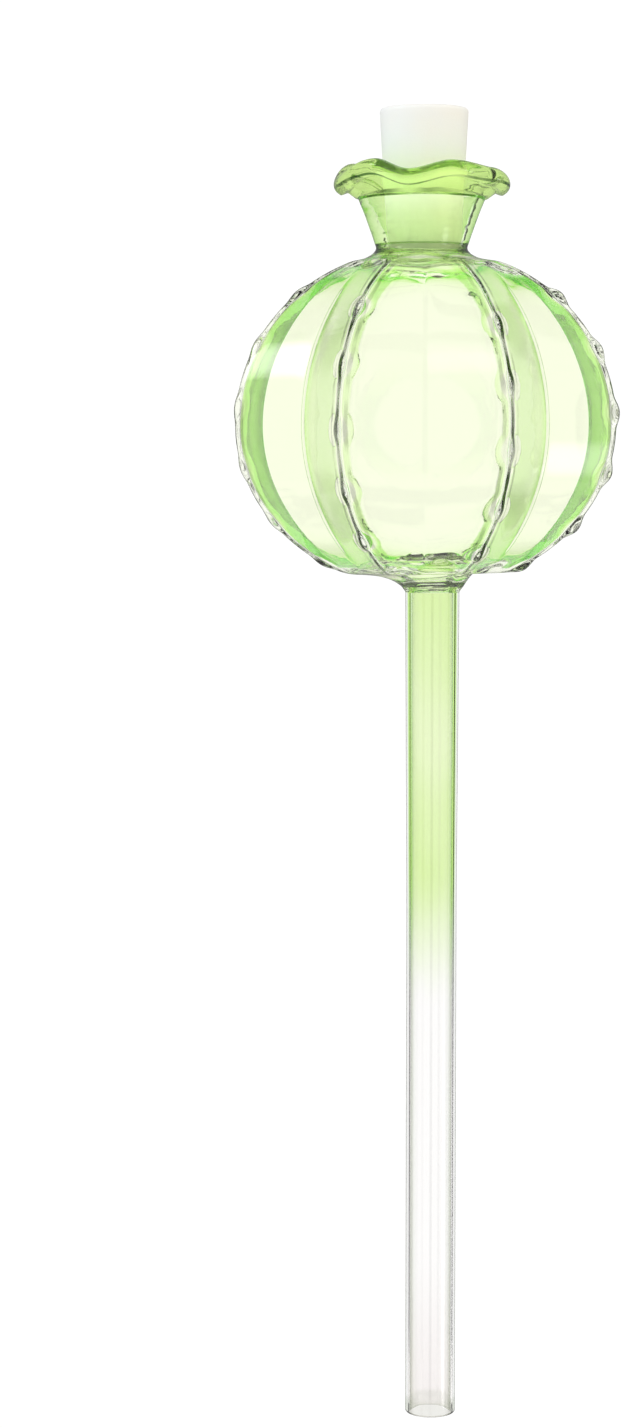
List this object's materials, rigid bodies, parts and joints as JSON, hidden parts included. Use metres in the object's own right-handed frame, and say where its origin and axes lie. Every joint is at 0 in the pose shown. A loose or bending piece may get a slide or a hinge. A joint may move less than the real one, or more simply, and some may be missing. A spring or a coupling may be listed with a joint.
{
  "type": "watering globe",
  "caption": "Ribbed blown glass watering globe on a long hollow stem, with a ruffled funnel mouth closed by a tapered silicone stopper.",
  "frame": {"origin": "centre of the stem's open tip", "axes": "+Z along the stem, from the tip to the bulb; -Y is the front, the side that the picture shows, and +X is to its right"},
  "size_m": [0.0725, 0.0727, 0.25],
  "materials": {
    "green_glass": "glossy transparent green",
    "stem_glass": "glossy transparent, green at the bulb and clear at the tip",
    "white_silicone": "satin translucent white"
  },
  "bodies": {
    "vessel": {"stem_tube": "stem_glass", "stem_weld": "green_glass", "globe_shell": "green_glass", "neck_weld": "green_glass", "neck_collar": "green_glass", "mouth_lip": "green_glass"},
    "plug": {"stopper": "white_silicone"}
  },
  "joints": [
    {"name": "stopper_lift", "type": "slide", "parent": "vessel", "child": "plug", "axis": [0, 0, 1], "range_m": [0, 0.03]}
  ]
}
